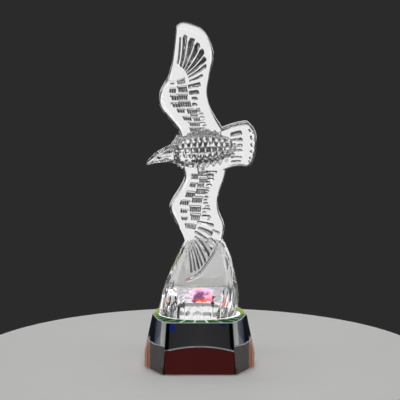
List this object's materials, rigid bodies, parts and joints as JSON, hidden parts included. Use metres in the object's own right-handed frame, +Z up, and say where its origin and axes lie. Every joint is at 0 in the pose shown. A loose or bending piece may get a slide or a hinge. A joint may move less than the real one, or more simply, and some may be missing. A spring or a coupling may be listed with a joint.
{
  "type": "crystal eagle trophy",
  "caption": "Cast crystal eagle with raised wing on a fluted bell foot, standing on a faceted two-tier crystal base.",
  "frame": {"origin": "middle of the base's underside, in the middle plane of the base", "axes": "+Z up along the trophy's height, -Y out of the carved front, +X towards the eagle's tail"},
  "size_m": [0.1124, 0.0906, 0.3501],
  "materials": {
    "clear_crystal": "pressed and fire-polished clear crystal",
    "smoky_crystal": "polished smoky crystal, top face with an iridescent coating",
    "red_brown_crystal": "polished red-brown crystal"
  },
  "bodies": {
    "root": {"crystal_eagle": "clear_crystal", "upper_base_block": "smoky_crystal", "lower_base_block": "red_brown_crystal"}
  },
  "joints": []
}
